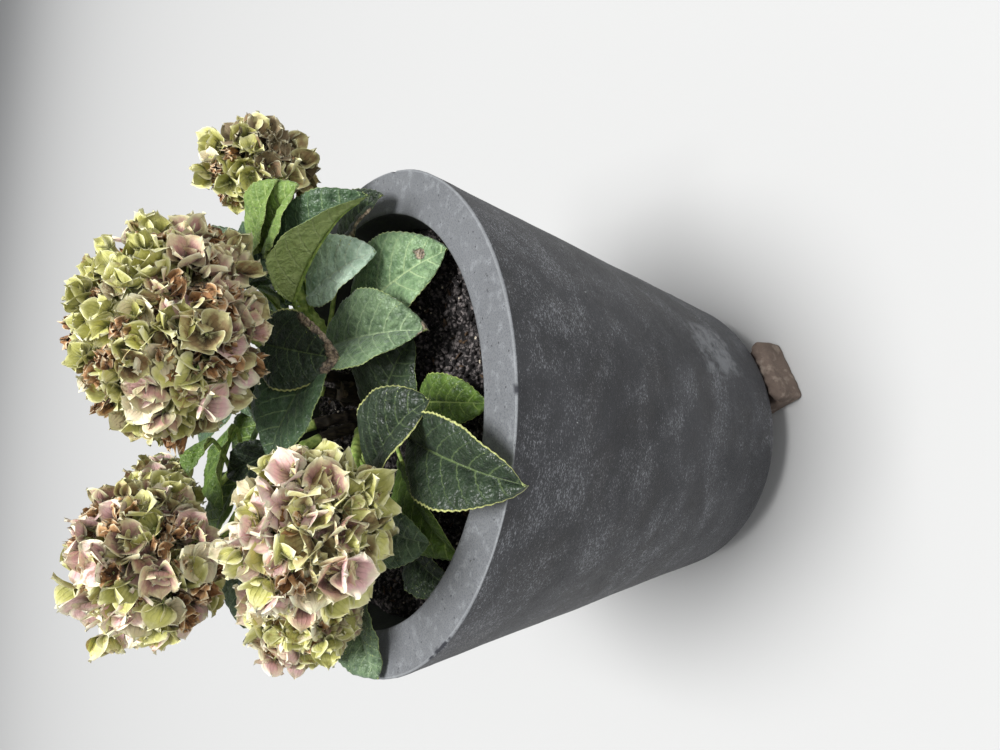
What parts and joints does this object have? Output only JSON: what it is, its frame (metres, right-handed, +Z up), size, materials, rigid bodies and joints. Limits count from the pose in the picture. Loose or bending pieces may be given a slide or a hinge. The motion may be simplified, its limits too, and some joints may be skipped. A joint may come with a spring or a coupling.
{
  "type": "potted hydrangea shrub",
  "caption": "Mophead hydrangea with fading flower heads over broad toothed leaves, standing in a tapered round planter that is raised on clay pot feet.",
  "frame": {"origin": "centre of the pot's flat underside, which the pot feet hold 20 mm above the ground", "axes": "+Z up, -Y towards the front that the picture shows, +X to the right seen from the front"},
  "size_m": [0.4077, 0.3917, 0.5709],
  "materials": {
    "fibre_cement": "matt dark grey with a paler rim",
    "soil": "loose and matt",
    "clay": "unglazed matt clay",
    "old_wood": "pale peeling bark",
    "leaf": "leathery, slightly glossy",
    "petal": "papery, green and dusty pink"
  },
  "bodies": {
    "root": {"pot": "fibre_cement", "soil": "soil", "pot_foot_1": "clay", "pot_foot_2": "clay", "pot_foot_3": "clay", "crown": "old_wood", "cane_centre": "old_wood", "cane_right": "old_wood", "cane_left": "old_wood", "cane_front": "old_wood", "cane_side": "old_wood", "cane_rear": "old_wood", "cane_low": "old_wood", "cane_back": "old_wood", "leaves_centre": "leaf", "leaves_right": "leaf", "leaves_left": "leaf", "leaves_front": "leaf", "leaves_side": "leaf", "leaves_rear": "leaf", "leaves_low": "leaf", "leaves_back": "leaf", "bloom_centre": "petal", "bloom_right": "petal", "bloom_left": "petal", "bloom_front": "petal", "bloom_side": "petal", "bloom_rear": "petal"}
  },
  "joints": []
}
